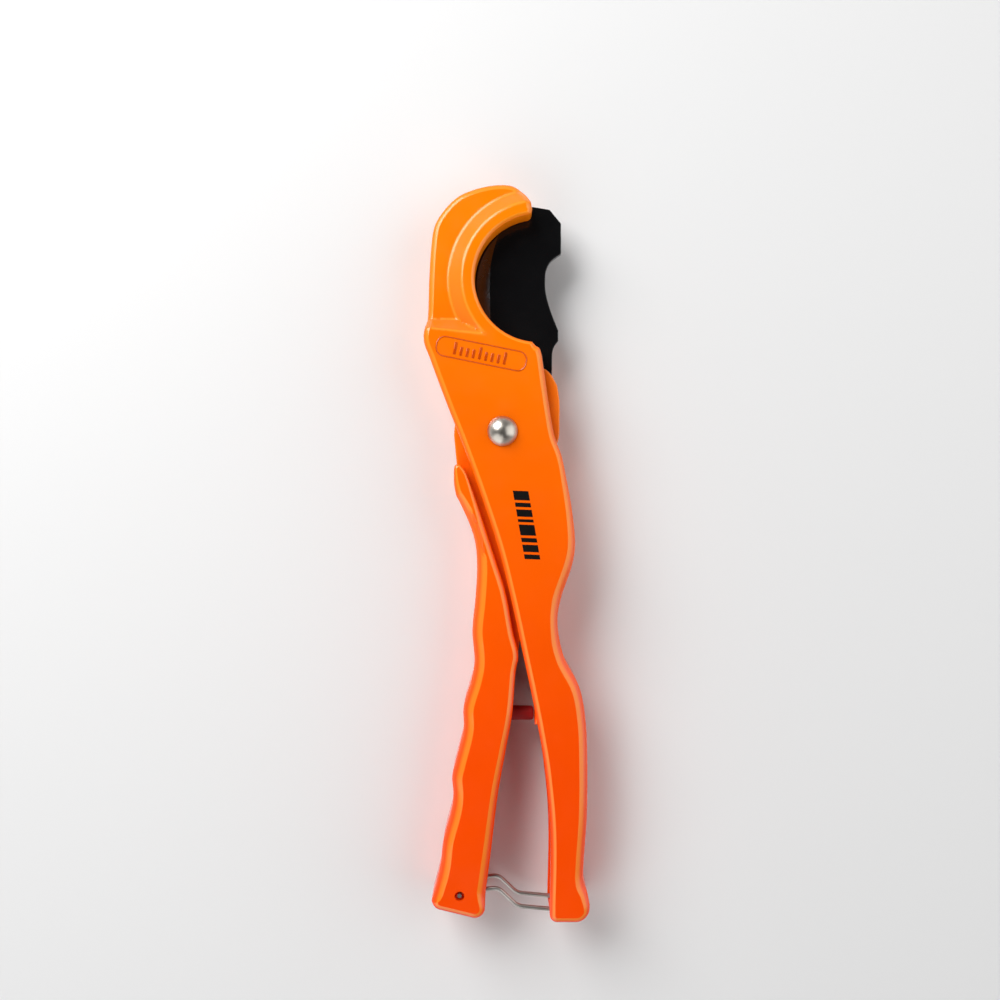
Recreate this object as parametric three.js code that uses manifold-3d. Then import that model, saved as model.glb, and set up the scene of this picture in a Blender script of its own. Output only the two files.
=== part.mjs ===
// A single-stroke cutter for plastic pipe: a hooked jaw and fixed handle cast in one piece, a moving
// handle that carries a broad hooked blade through the slotted jaw, and a wire bail that holds the
// two handles shut. The tool lies flat on the rear face of its fixed casting.
//
// Layout frame, in millimetres: x runs across the tool, y along it towards the jaw and z through its
// thickness. The pivot axis is x = 0, y = 0 and the blade's mid-plane is z = 0. The exported group is
// shifted so that the middle of the tool's bounding box, on the rear face, is the origin.
import * as THREE from "three";
import { mergeVertices } from "three/addons/utils/BufferGeometryUtils.js";
import Module from "manifold-3d";

const wasm = await Module();
wasm.setup();

// ---------------------------------------------------------------- driving dimensions

const pipeDiameter = 32; // the largest pipe that the jaw takes
const seatSlack = 1.75; // the jaw's radius beyond the pipe's
const seatHeight = 24.65; // from the pivot up to the lowest point of the jaw's round seat
const jawX = 10; // the jaw's centre lies this far to the right of the pivot
const handleLength = 136; // from the pivot down to the fixed handle's end
const movingShare = 0.985; // the moving handle's end, as a share of that length
const bodyThickness = 18; // of the fixed casting, face to face
const cheekThickness = 3.1; // each of the casting's two side walls
const spineThickness = 3; // the wall that joins the side walls along a handle's outer edge
const endWall = 2.4; // the wall across the moving handle's lower end
const castingEndWall = 1.3; // the same wall of the fixed handle, which the bail lies close to
const webThickness = 12; // of the hook's thinner outer web
const rimTop = 3.45; // width of the raised rim around the seat
const rimSlope = 4; // width of the slope from the rim down to the web
const castRound = 1.2; // rounding of the fixed casting's outer edges
const movingThickness = 17.2; // of the moving handle's grip
const tipRound = 1.7; // the corner between the seat and the hook's tip
const gripRound = 1.4; // rounding of the moving handle's outer edges
const endSlant = 1.1; // how far the moving handle's lower end rises to the left and drops to the right
const bladeThickness = 2.5;
const bladeReach = 64.6; // from the pivot to the blade's rounded top
const edgeOvertravel = 1.6; // how far the shut blade's edge passes the seat
const grindWidth = 6; // the ground bevel along the cutting edge
const rivetRadius = 3;
const rivetHeadRadius = 4.2;
const rivetHeadHeight = 2.5;
const sleeveWall = 1.5;
const washerThickness = 0.6;
const lugRadius = 16.3; // the moving handle's eye around the pivot
const springPocketRadius = 11;
const springWire = 1.1;
const springTurns = 2.5;
const bladePinRadius = 1.4;
const bailWire = 1.2;
const bailHoleRadius = 1.35;
const bufferRadius = 2;
const landingRise = 0.3; // how far the block that the buffer lands on stands out of the channel
const gap = 0.25; // between pieces that seat on or in each other
const runningGap = 0.35; // between pieces that turn past each other

// ---------------------------------------------------------------- sizes that follow

const jawRadius = pipeDiameter / 2 + seatSlack;
const jawY = seatHeight + jawRadius;
const bodyHalf = bodyThickness / 2;
const cavityHalf = bodyHalf - cheekThickness;
const webHalf = webThickness / 2;
const movingHalf = movingThickness / 2;
const bladeHalf = bladeThickness / 2;
const bladeSlotHalf = bladeHalf + runningGap;
const lugSlotHalf = bladeHalf + gap;
const lugHalf = cavityHalf - washerThickness - 2 * gap + 0.1;
const sleeveRadius = rivetRadius + gap + sleeveWall;
const sleeveBore = rivetRadius + gap;
const eyeBore = sleeveRadius + gap;
const edgeX = jawX - jawRadius - edgeOvertravel;
const hookLeft = jawX - jawRadius - 12.75;
const handleEnd = -handleLength;
const movingEnd = handleEnd * movingShare;

// ---------------------------------------------------------------- drawing helpers

const rad = THREE.MathUtils.degToRad;
const point = (x, y) => new THREE.Vector2(x, y);

// A smooth line through points given as [x, y].
function spline(points, steps) {
  return new THREE.SplineCurve(points.map(([x, y]) => point(x, y))).getPoints(steps);
}

function arc(x, y, radius, fromDegrees, toDegrees, steps) {
  const curve = new THREE.EllipseCurve(
    x,
    y,
    radius,
    radius,
    rad(fromDegrees),
    rad(toDegrees),
    toDegrees < fromDegrees,
  );
  return curve.getPoints(steps);
}

// A point seen from the pivot, by angle and distance.
const polar = (degrees, radius) => [radius * Math.cos(rad(degrees)), radius * Math.sin(rad(degrees))];

// A point seen from the jaw's centre, by angle and distance outside the seat.
const aroundJaw = (degrees, beyond) => [
  jawX + (jawRadius + beyond) * Math.cos(rad(degrees)),
  jawY + (jawRadius + beyond) * Math.sin(rad(degrees)),
];

// Stations along a handle: [x, share of the handle's length below the pivot].
const stations = (list) => list.map(([x, share]) => [x, -share * handleLength]);

// An outline with no two neighbouring points in the same place.
function outline(...stretches) {
  const all = stretches.flat().map((p) => (Array.isArray(p) ? point(...p) : p));
  const kept = all.filter((p, i) => i === 0 || p.distanceTo(all[i - 1]) > 0.05);
  if (kept[0].distanceTo(kept.at(-1)) < 0.05) kept.pop();
  return kept;
}

function solid(geometry) {
  const bare = geometry.index ? geometry.toNonIndexed() : geometry.clone();
  for (const name of Object.keys(bare.attributes)) {
    if (name !== "position") bare.deleteAttribute(name);
  }
  const merged = mergeVertices(bare, 1e-4);
  return new wasm.Manifold(
    new wasm.Mesh({
      numProp: 3,
      vertProperties: merged.attributes.position.array,
      triVerts: new Uint32Array(merged.index.array),
    }),
  );
}

// A plate of that outline between two heights, with its two edges rounded by `round`.
function plate(points, low, high, round = 0, segments = 2) {
  const geometry = new THREE.ExtrudeGeometry(new THREE.Shape(points), {
    depth: high - low - 2 * round,
    bevelEnabled: round > 0,
    bevelThickness: round,
    bevelSize: round,
    bevelOffset: -round,
    bevelSegments: segments,
  });
  return solid(geometry.translate(0, 0, low + round));
}

// A cutter whose floor is that outline at `floor` and which widens upwards by `spread` up to `top`.
function flaringCutter(points, floor, top, spread) {
  const geometry = new THREE.ExtrudeGeometry(new THREE.Shape(points), {
    depth: 10,
    bevelEnabled: true,
    bevelThickness: top - floor,
    bevelSize: spread,
    bevelSegments: 3,
  });
  const cutter = solid(geometry.translate(0, 0, top));
  return cutter.trimByPlane([0, 0, -1], -(top + 9));
}

function disc(x, y, radius, low, high, sides = 28) {
  const geometry = new THREE.CylinderGeometry(radius, radius, high - low, sides);
  return solid(geometry.rotateX(Math.PI / 2).translate(x, y, (low + high) / 2));
}

function block(xLow, xHigh, yLow, yHigh, zLow, zHigh) {
  const geometry = new THREE.BoxGeometry(xHigh - xLow, yHigh - yLow, zHigh - zLow);
  return solid(geometry.translate((xLow + xHigh) / 2, (yLow + yHigh) / 2, (zLow + zHigh) / 2));
}

// A turned piece about the z axis: [radius, z] from its lowest to its highest point.
function turned(profile, sides = 28) {
  const geometry = new THREE.LatheGeometry(
    profile.map(([r, z]) => point(r, z)),
    sides,
  );
  return solid(geometry.rotateX(Math.PI / 2));
}

// A ring about the z axis.
function ring(inner, outer, low, high, sides = 28) {
  return disc(0, 0, outer, low, high, sides).subtract(disc(0, 0, inner, low - 1, high + 1, sides));
}

// Round wire along a path of straight runs whose corners are bent to `bend`.
function bentWire(corners, diameter, bend, steps) {
  const path = new THREE.CurvePath();
  let from = corners[0];
  for (let i = 1; i < corners.length - 1; i++) {
    const before = corners[i].clone().sub(from).setLength(bend);
    const after = corners[i + 1].clone().sub(corners[i]).setLength(bend);
    const start = corners[i].clone().sub(before);
    const end = corners[i].clone().add(after);
    path.add(new THREE.LineCurve3(from, start));
    path.add(new THREE.QuadraticBezierCurve3(start, corners[i], end));
    from = end;
  }
  path.add(new THREE.LineCurve3(from, corners.at(-1)));
  return wireAlong(path, diameter, steps);
}

function wireAlong(path, diameter, steps, sides = 8) {
  const section = new THREE.Shape(arc(0, 0, diameter / 2, 0, 360, sides).slice(0, -1));
  return solid(
    new THREE.ExtrudeGeometry(section, { steps, bevelEnabled: false, extrudePath: path }),
  );
}

// ---------------------------------------------------------------- the fixed casting's outlines

const innerEdge = stations([
  [-10.5, 0.037],
  [-5.4, 0.142],
  [-1.0, 0.242],
  [2.4, 0.343],
  [5.4, 0.445],
  [7.9, 0.531],
  [9.9, 0.606],
  [11.7, 0.685],
  [13.1, 0.785],
  [13.4, 0.866],
  [13.1, 0.965],
]);

const palmEdge = stations([
  [24.2, 0.965],
  [23.6, 0.942],
  [22.5, 0.915],
  [22.7, 0.868],
  [23.5, 0.778],
  [23.6, 0.668],
  [23.1, 0.589],
  [21.4, 0.523],
  [17.1, 0.46],
  [15.3, 0.392],
  [16.3, 0.34],
  [19.2, 0.277],
  [20.2, 0.23],
  [19.4, 0.165],
  [17.9, 0.102],
  [16.4, 0.05],
]);

const cheekFront = [
  [14.3, -1],
  [12.9, 7],
  [11.8, 14.6],
  [10.9, seatHeight - 3.6],
];

function castingOutline() {
  return outline(
    arc(jawX, jawY, jawRadius, 264, 100.3, 22),
    arc(...aroundJaw(100.3, tipRound), tipRound, 280.3, 375, 4),
    spline(
      [
        aroundJaw(95.6, 3.4),
        aroundJaw(98.4, 6),
        aroundJaw(103, 8.7),
        aroundJaw(108, 10.3),
        aroundJaw(116.5, 11.9),
        aroundJaw(126, 13.5),
        aroundJaw(134, 14.7),
        aroundJaw(143, 15.1),
        aroundJaw(152, 15),
        [hookLeft + 0.6, jawY + 9.9],
        [hookLeft, jawY + 0.7],
        [hookLeft - 0.4, seatHeight + 7.4],
        [hookLeft - 1.4, seatHeight + 1],
        [-19.9, 19.6],
        [-15.7, 8.3],
        ...innerEdge,
      ],
      84,
    ),
    arc(innerEdge.at(-1)[0] + 2, handleEnd + 2, 2, 180, 270, 3),
    arc(palmEdge[0][0] - 4, handleEnd + 4, 4, 270, 350, 4),
    spline([...palmEdge, ...cheekFront], 60),
    arc(cheekFront.at(-1)[0] - 2, seatHeight - 2.7, 1.7, 10, 75, 3),
  );
}

// The hook's web lies lower than the rim around the seat and than the body below the shelf.
function webRegion() {
  const shelf = seatHeight + 6.9;
  const below = 180 + THREE.MathUtils.radToDeg(Math.asin((jawY - shelf) / (jawRadius + rimTop + rimSlope)));
  const far = jawRadius + 40;
  return outline(
    arc(jawX, jawY, jawRadius + rimTop + rimSlope, 84, below, 26),
    [
      [jawX - far, shelf],
      [jawX - far, jawY + far],
      [jawX + 6, jawY + far],
    ],
  );
}

// The space between the casting's two cheeks: the pivot eye's room, the opening at the right through
// which the blade's carrier swings, and the channel of the fixed handle, open towards the other one.
function cavityRegion(halfHeight) {
  const eyeRoom = disc(0, 0, lugRadius + 1.3, -halfHeight, halfHeight, 40);
  const carrierRoom = plate(
    outline([[0, 0]], arc(0, 0, lugRadius + 5.6, -24, 75, 14)),
    -halfHeight,
    halfHeight,
  );
  const channelTop = -10;
  const inside = palmEdge
    .filter(([, y]) => y < channelTop)
    .map(([x, y]) => [x - spineThickness, y]);
  const channel = plate(
    outline(
      [
        [-40, handleEnd + castingEndWall],
        [inside[0][0], handleEnd + castingEndWall],
      ],
      spline(inside, 40),
      [
        [inside.at(-1)[0] - 0.6, channelTop],
        [8, 0],
        [-40, 0],
      ],
    ),
    -halfHeight,
    halfHeight,
  );
  return eyeRoom.add(carrierRoom).add(channel);
}

// The slot in the middle of the hook that the shut blade lies in.
function bladeSlot() {
  const clear = 1.6;
  const slotReach = bladeReach + 0.8;
  return plate(
    outline(
      [[edgeX - clear, 8]],
      spline(
        [
          [edgeX - clear, 24],
          [edgeX - clear, jawY + 4],
          [edgeX - clear + 2.2, jawY + 14],
          polar(94, slotReach),
        ],
        12,
      ),
      arc(0, 0, slotReach, 94, 66, 12),
      [[slotReach * 0.5, 8]],
    ),
    -bladeSlotHalf,
    bladeSlotHalf,
  );
}

// ---------------------------------------------------------------- where the small pieces go

const bailPin = point(-11.9, -0.9456 * handleLength);
const barCentre = point(17.4, handleEnd + castingEndWall + bailWire / 2 + runningGap);
const bufferY = -0.5846 * handleLength;
const bladePins = [point(...polar(52, 15.2)), point(...polar(97, 13.6))];
const springStart = 218; // where round the pivot the coil starts, in degrees
const springHole = polar(springStart + 360 * springTurns + 28, eyeBore + 2.6);
const ribShares = [0.49, 0.62, 0.735];

// ---------------------------------------------------------------- the fixed casting

function makeCasting() {
  const region = webRegion();
  const web = plate(castingOutline(), -webHalf, webHalf, castRound);
  const slope = flaringCutter(region, webHalf, bodyHalf, rimSlope);
  const full = plate(castingOutline(), -bodyHalf, bodyHalf, castRound)
    .subtract(plate(region, -webHalf - 0.01, webHalf + 0.01))
    .subtract(slope)
    .subtract(slope.mirror([0, 0, 1]));
  let casting = full.add(web).subtract(cavityRegion(cavityHalf)).subtract(bladeSlot());

  for (const share of ribShares) casting = casting.add(channelRib(-share * handleLength));
  casting = casting.add(landing()).add(catchTooth());

  const tailRecess = disc(0, 0, rivetHeadRadius + 0.5, -bodyHalf - 1, -bodyHalf + 2);
  const tangHole = disc(...springHole, springWire / 2 + 2 * gap, -cavityHalf - 2, 0, 12);
  return casting.subtract(disc(0, 0, sleeveBore, -20, 20)).subtract(tailRecess).subtract(tangHole);
}

// A cross rib between the cheeks, standing on the fixed handle's spine.
function channelRib(y) {
  const spineX = edgeAt(palmEdge, y) - spineThickness;
  return block(spineX - 4, spineX + 0.8, y - 0.8, y + 0.8, -cavityHalf - 0.5, cavityHalf + 0.5);
}

// The block across the channel that the closing buffer lands on.
function landing() {
  const face = edgeAt(innerEdge, bufferY) - landingRise;
  const spineX = edgeAt(palmEdge, bufferY) - spineThickness;
  const high = cavityHalf + 0.5;
  return block(face, spineX + 0.8, bufferY - 2.2, bufferY + 3.2, -high, high);
}

// The tooth on the end wall that holds the bail's bar.
function catchTooth() {
  const face = barCentre.x - bailWire / 2 - runningGap;
  return block(face - 1.7, face, handleEnd + castingEndWall - 0.5, barCentre.y + 1.4, -3.1, 3.1);
}

// The x of an edge, given by its stations, at one height.
function edgeAt(edge, y) {
  const sorted = [...edge].sort((a, b) => a[1] - b[1]);
  const i = Math.min(sorted.length - 1, Math.max(1, sorted.findIndex((p) => p[1] >= y)));
  const [[x0, y0], [x1, y1]] = [sorted[i - 1], sorted[i]];
  return x0 + ((x1 - x0) * (y - y0)) / (y1 - y0);
}

// ---------------------------------------------------------------- the moving handle

const fingerEdge = stations([
  [-12.9, 0.13],
  [-12.0, 0.143],
  [-9.4, 0.185],
  [-7.6, 0.228],
  [-7.1, 0.28],
  [-7.6, 0.345],
  [-8.4, 0.407],
  [-7.8, 0.466],
  [-8.6, 0.506],
  [-10.8, 0.562],
  [-10.9, 0.61],
  [-13.1, 0.676],
  [-14.0, 0.706],
  [-13.7, 0.742],
  [-14.3, 0.776],
  [-16.4, 0.834],
  [-17.2, 0.882],
  [-18.4, 0.922],
  [-19.7, 0.957],
]);

const wedgeEdge = stations([
  [-4.8, 0.95],
  [-3.2, 0.859],
  [-1.2, 0.739],
  [0.9, 0.652],
  [2.7, 0.577],
  [3.6, 0.495],
  [4.4, 0.455],
]);

const shoulderEdge = stations([
  [2.9, 0.408],
  [0.9, 0.329],
  [-2.2, 0.256],
  [-4.6, 0.201],
  [-7.3, 0.142],
]);

// The grip: full thickness, from the end up to the shoulder that follows the casting's edge.
function gripOutline() {
  return outline(
    spline(fingerEdge, 66),
    arc(fingerEdge.at(-1)[0] + 3, movingEnd + endSlant + 3, 3, 205, 259, 4),
    arc(wedgeEdge[0][0] - 2.9, movingEnd - endSlant + 2.9, 2.9, 262, 350, 5),
    spline([...wedgeEdge, ...shoulderEdge], 40),
    arc(fingerEdge[0][0] + 2, fingerEdge[0][1] + 0.9, 2.2, 25, 190, 6),
  );
}

// The shoulder's thin upper end, which still clears the casting when the handles are wide open.
function shoulderTip() {
  return outline(
    [[-13.6, -9.3]],
    fingerEdge.slice(0, 3).map(([x, y]) => [x + 0.3, y]),
    [
      [shoulderEdge.at(-2)[0] - 0.6, shoulderEdge.at(-2)[1]],
      [shoulderEdge.at(-1)[0] - 0.3, shoulderEdge.at(-1)[1]],
      [-11.4, -9.4],
    ],
  );
}

// The thinner part that turns between the casting's cheeks: the eye, with a lobe that carries the blade.
function eyeOutline() {
  return outline(
    spline(
      [
        [-12.6, -11],
        [-13.3, -4],
        polar(178, 13.5),
        polar(150, 14.1),
        polar(125, lugRadius - 0.7),
        polar(98, lugRadius),
        polar(76, lugRadius + 0.7),
      ],
      20,
    ),
    spline([polar(62, lugRadius + 4.2), polar(55, lugRadius + 5), polar(48.5, lugRadius + 4.7)], 6),
    spline(
      [
        polar(40, lugRadius + 3.8),
        polar(28, lugRadius + 1.8),
        polar(14, lugRadius + 0.2),
        polar(-6, lugRadius - 0.4),
        polar(-24, lugRadius - 1),
        polar(-38, lugRadius - 1.2),
        [11.4, -0.13 * handleLength],
      ],
      20,
    ),
    [
      [wedgeEdge.at(-1)[0], wedgeEdge.at(-1)[1]],
      [wedgeEdge.at(-2)[0] - 1, wedgeEdge.at(-2)[1]],
      [-3, -0.45 * handleLength],
      [-4, -0.28 * handleLength],
      [-6.6, -0.2 * handleLength],
    ],
  );
}

// A channel inside the moving handle, open towards the fixed one, between two heights.
function movingChannel(yLow, yHigh, halfHeight) {
  const wall = fingerEdge.filter(([, y]) => y > yLow && y < yHigh).map(([x, y]) => [x + spineThickness, y]);
  return plate(
    outline(
      [[edgeAt(fingerEdge, yHigh) + spineThickness, yHigh]],
      wall,
      [
        [edgeAt(fingerEdge, yLow) + spineThickness, yLow],
        [30, yLow],
        [30, yHigh],
      ],
    ),
    -halfHeight,
    halfHeight,
  );
}

function makeMovingHandle() {
  const grip = plate(gripOutline(), -movingHalf, movingHalf, gripRound);
  const tip = plate(shoulderTip(), -movingHalf + 0.1, movingHalf - 0.1, 0.6, 1);
  const eye = plate(eyeOutline(), -lugHalf, lugHalf);
  const crotch = -0.45 * handleLength;
  let handle = grip
    .add(tip)
    .add(eye)
    .subtract(movingChannel(movingEnd + endWall, crotch, movingHalf - cheekThickness + 0.3))
    .subtract(movingChannel(crotch - 1, -0.19 * handleLength, lugHalf - 2.2));

  const bossLeft = edgeAt(fingerEdge, bufferY) + spineThickness - 0.8;
  const bossRight = edgeAt(wedgeEdge, bufferY) - 0.6;
  handle = handle.add(
    block(bossLeft, bossRight, bufferY - 3, bufferY + 3, -movingHalf + 2, movingHalf - 2),
  );
  for (const share of [0.51, 0.66, 0.74]) {
    const y = -share * handleLength;
    const x = edgeAt(fingerEdge, y) + spineThickness;
    handle = handle.add(block(x - 0.8, x + 2.6, y - 0.8, y + 0.8, -movingHalf + 2, movingHalf - 2));
  }

  handle = handle
    .subtract(bladeBed())
    .subtract(disc(0, 0, eyeBore, -20, 20))
    .subtract(disc(0, 0, springPocketRadius, -20, -lugSlotHalf + 0.01))
    .subtract(springNotch())
    .subtract(disc(bailPin.x, bailPin.y, bailHoleRadius, -20, 20, 16))
    .subtract(
      solid(
        new THREE.CylinderGeometry(bufferRadius - 0.4 + gap, bufferRadius - 0.4 + gap, 6, 16)
          .rotateZ(Math.PI / 2)
          .translate(bossRight - 3 + 0.01, bufferY, 0),
      ),
    );
  for (const pin of bladePins) {
    handle = handle.subtract(disc(pin.x, pin.y, bladePinRadius + gap, -20, 20, 16));
  }
  return handle;
}

// The slot in the eye that the blade's heel is let into.
function bladeBed() {
  return plate(
    outline(
      arc(0, 0, 9.5 + gap, 180, 360, 14),
      [
        [30, 0],
        [30, 40],
        [edgeX - gap, 40],
        [edgeX - gap, 6],
      ],
    ),
    -lugSlotHalf,
    lugSlotHalf,
  );
}

// The slot in the eye's rear half for the spring's hooked leg.
function springNotch() {
  const half = springWire / 2 + gap;
  return block(
    -springPocketRadius - 2.6,
    -springPocketRadius + 3,
    -half - 4.6,
    half - 4.6,
    -lugHalf - 1,
    -lugSlotHalf + 0.3,
  );
}

// ---------------------------------------------------------------- the blade

function bladeOutline() {
  const backX = 16.6;
  return outline(
    arc(0, 0, 9.5, 180, 360, 16),
    spline(
      [
        [9.5, 0],
        [11.2, 8],
        [13.8, 15],
        [14.2, seatHeight - 1.6],
        [15.8, jawY - 16.3],
      ],
      14,
    ),
    spline(
      [
        [15.8, jawY - 13.4],
        [13.8, jawY - 8.3],
        [12.4, jawY - 3.4],
        [12.1, jawY + 0.2],
        [12.4, jawY + 3.7],
        [13.8, jawY + 6.3],
        [backX, jawY + 8.4],
      ],
      16,
    ),
    [[backX, bladeReach - 5.3]],
    arc(0, 0, bladeReach, 78, 93.2, 6),
    cuttingEdge(),
    spline(
      [
        [edgeX + 0.2, seatHeight - 3.5],
        [edgeX + 1.2, 12],
        [-9.5, 0],
      ],
      8,
    ),
  );
}

function cuttingEdge() {
  return spline(
    [
      polar(93.2, bladeReach),
      [edgeX + 1.9, jawY + 13.6],
      [edgeX - 0.1, jawY + 4],
      [edgeX - 0.1, jawY - 9],
      [edgeX + 0.2, seatHeight - 3.5],
    ],
    16,
  );
}

// Both faces are ground back to a thin land along the cutting edge.
function makeBlade() {
  let blade = plate(bladeOutline(), -bladeHalf, bladeHalf);
  const edge = cuttingEdge();
  const tilt = Math.atan2(bladeHalf - 0.15, grindWidth);
  for (let i = 0; i < edge.length - 1; i++) {
    const along = edge[i + 1].clone().sub(edge[i]);
    for (const side of [1, -1]) {
      blade = blade.subtract(grindWheel(edge[i], along, tilt, side));
    }
  }
  blade = blade.subtract(disc(0, 0, eyeBore, -20, 20));
  for (const pin of bladePins) {
    blade = blade.subtract(disc(pin.x, pin.y, bladePinRadius + gap, -20, 20, 16));
  }
  return blade;
}

// The wedge of steel that grinding takes off one face along one stretch of the edge.
function grindWheel(start, along, tilt, side) {
  const length = along.length();
  const wedge = new THREE.Shape([
    point(-1.5, 0.15 - 1.5 * Math.tan(tilt)),
    point(grindWidth, bladeHalf),
    point(grindWidth, bladeHalf + 1),
    point(-1.5, bladeHalf + 1),
  ]);
  const geometry = new THREE.ExtrudeGeometry(wedge, { depth: length + 0.4, bevelEnabled: false });
  const inward = new THREE.Vector3(-along.y, along.x, 0).normalize();
  const forward = new THREE.Vector3(along.x, along.y, 0).normalize();
  const up = new THREE.Vector3().crossVectors(forward, inward);
  const place = new THREE.Matrix4().makeBasis(inward, up, forward);
  geometry.translate(0, 0, -0.2).applyMatrix4(place);
  const wheel = solid(geometry.translate(start.x, start.y, 0));
  return Math.sign(up.z) === side ? wheel : wheel.mirror([0, 0, 1]);
}

// ---------------------------------------------------------------- the pivot

function makeRivet() {
  const seat = bodyHalf + gap;
  const dome = [];
  const steps = 7;
  const ballRadius = (rivetHeadRadius ** 2 + rivetHeadHeight ** 2) / (2 * rivetHeadHeight);
  const spread = Math.asin(rivetHeadRadius / ballRadius);
  for (let i = 0; i <= steps; i++) {
    const a = spread * (1 - i / steps);
    dome.push([
      ballRadius * Math.sin(a),
      seat + rivetHeadHeight - ballRadius * (1 - Math.cos(a)),
    ]);
  }
  dome[steps][0] = 0;
  const tailLow = -bodyHalf + gap;
  return turned([
    [0, tailLow],
    [rivetHeadRadius - 0.6, tailLow],
    [rivetHeadRadius - 0.3, tailLow + 0.35],
    [rivetHeadRadius - 0.5, tailLow + 0.7],
    [rivetRadius, tailLow + 0.7],
    [rivetRadius, seat],
    ...dome,
  ]);
}

function makeTailWasher() {
  const top = -bodyHalf + 2 - gap;
  return ring(sleeveBore, rivetHeadRadius + 0.2, -bodyHalf + gap + 0.7 + 0.1, top);
}

const makeSleeve = () => ring(sleeveBore, sleeveRadius, -cavityHalf + gap, cavityHalf - gap);

const makeThrustWasher = () =>
  ring(eyeBore, eyeBore + 4.2, cavityHalf - 0.2 - washerThickness, cavityHalf - 0.2);

const makeSpringSpool = () => ring(eyeBore, eyeBore + 0.9, -cavityHalf + gap, -bladeHalf - gap);

// Two and a half turns behind the blade; one end hooks the moving handle, the other the rear cheek.
function makeSpring() {
  const coilRadius = eyeBore + 0.9 + 0.5 + springWire / 2;
  const top = -bladeHalf - 0.3 - springWire / 2;
  const low = -cavityHalf + 0.3 + springWire / 2;
  const turnPoints = 10;
  const count = Math.round(springTurns * turnPoints);
  const points = [
    new THREE.Vector3(-springPocketRadius - 1.6, -4.6, top),
    new THREE.Vector3(-springPocketRadius + 1, -4.6, top),
  ];
  const startAngle = springStart;
  for (let i = 0; i <= count; i++) {
    const share = i / count;
    const [x, y] = polar(startAngle + 360 * springTurns * share, coilRadius);
    points.push(new THREE.Vector3(x, y, top + (low - top) * share));
  }
  const [x, y] = springHole;
  points.push(new THREE.Vector3(x, y, low - 0.5), new THREE.Vector3(x, y, low - 1.9));
  return wireAlong(new THREE.CatmullRomCurve3(points, false, "centripetal"), springWire, 70);
}

function makeBladePin(at) {
  return disc(at.x, at.y, bladePinRadius, -lugHalf + 0.1, lugHalf - 0.1, 16);
}

// ---------------------------------------------------------------- the bail and the buffer

function makeBail() {
  const leg = movingHalf - cheekThickness + 0.3 - bailWire / 2 - gap;
  const side = [
    [bailPin.x, bailPin.y],
    [-1.2, bailPin.y + 1.1],
    [4.2, barCentre.y + 1.15],
    [barCentre.x, barCentre.y],
  ];
  const corners = [
    new THREE.Vector3(bailPin.x, bailPin.y, movingHalf - 0.4),
    ...side.map(([x, y]) => new THREE.Vector3(x, y, leg)),
    ...side.reverse().map(([x, y]) => new THREE.Vector3(x, y, -leg)),
    new THREE.Vector3(bailPin.x, bailPin.y, -movingHalf + 0.4),
  ];
  return bentWire(corners, bailWire, 1.6, 110);
}

function makeBuffer() {
  const seat = edgeAt(wedgeEdge, bufferY) - 0.6;
  const nose = edgeAt(innerEdge, bufferY) - landingRise - gap;
  const plug = turned(
    [
      [0, seat - 5],
      [bufferRadius - 0.4, seat - 5],
      [bufferRadius - 0.4, seat + gap],
      [bufferRadius, seat + gap],
      [bufferRadius, nose - 0.5],
      [bufferRadius - 0.5, nose],
      [0, nose],
    ],
    16,
  );
  return plug.rotate([0, 90, 0]).translate([0, bufferY, 0]);
}

// ---------------------------------------------------------------- materials and assembly

const paint = (name, color, roughness, metalness) =>
  new THREE.MeshStandardMaterial({ name, color, roughness, metalness });

const orangePaint = paint("orange_paint", 0xff5f00, 0.38, 0);
const blackBlade = paint("black_blade", 0x111111, 0.45, 0.2);
const platedSteel = paint("plated_steel", 0xb9b4aa, 0.25, 1);
const springSteel = paint("spring_steel", 0x8f8a80, 0.35, 1);
const bufferRubber = paint("buffer_rubber", 0x9b0a08, 0.6, 0);

const assembly = new THREE.Group();

function add(name, made, material) {
  const { numProp, vertProperties, triVerts } = made.getMesh();
  const positions = new Float32Array((vertProperties.length / numProp) * 3);
  for (let i = 0; i < positions.length / 3; i++) {
    positions.set(vertProperties.subarray(i * numProp, i * numProp + 3), i * 3);
  }
  const geometry = new THREE.BufferGeometry();
  geometry.setAttribute("position", new THREE.BufferAttribute(positions, 3));
  geometry.setIndex(new THREE.BufferAttribute(triVerts, 1));
  const mesh = new THREE.Mesh(geometry, material);
  mesh.name = name;
  assembly.add(mesh);
}

add("fixed_casting", makeCasting(), orangePaint);
add("moving_handle", makeMovingHandle(), orangePaint);
add("blade", makeBlade(), blackBlade);
add("pivot_rivet", makeRivet(), platedSteel);
add("rivet_tail_washer", makeTailWasher(), platedSteel);
add("pivot_sleeve", makeSleeve(), platedSteel);
add("thrust_washer", makeThrustWasher(), platedSteel);
add("spring_spool", makeSpringSpool(), platedSteel);
add("opening_spring", makeSpring(), springSteel);
bladePins.forEach((at, i) => add(`blade_pin_${i + 1}`, makeBladePin(at), platedSteel));
add("lock_bail", makeBail(), springSteel);
add("closing_buffer", makeBuffer(), bufferRubber);

const box = new THREE.Box3().setFromObject(assembly);
assembly.position.set(-(box.min.x + box.max.x) / 2, -(box.min.y + box.max.y) / 2, -box.min.z);

export default assembly;
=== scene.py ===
"""A cutter for plastic pipe: two orange enamelled castings, a black hooked blade between them, a plated
rivet, and a wire bail that holds the handles shut. Lengths are in millimetres from the pivot, with x across
the tool, y towards the jaw and z through its thickness, until a piece's points are placed in metres."""

import math

import bmesh
import bpy
import numpy as np
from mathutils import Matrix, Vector
from mathutils.geometry import delaunay_2d_cdt


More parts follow.
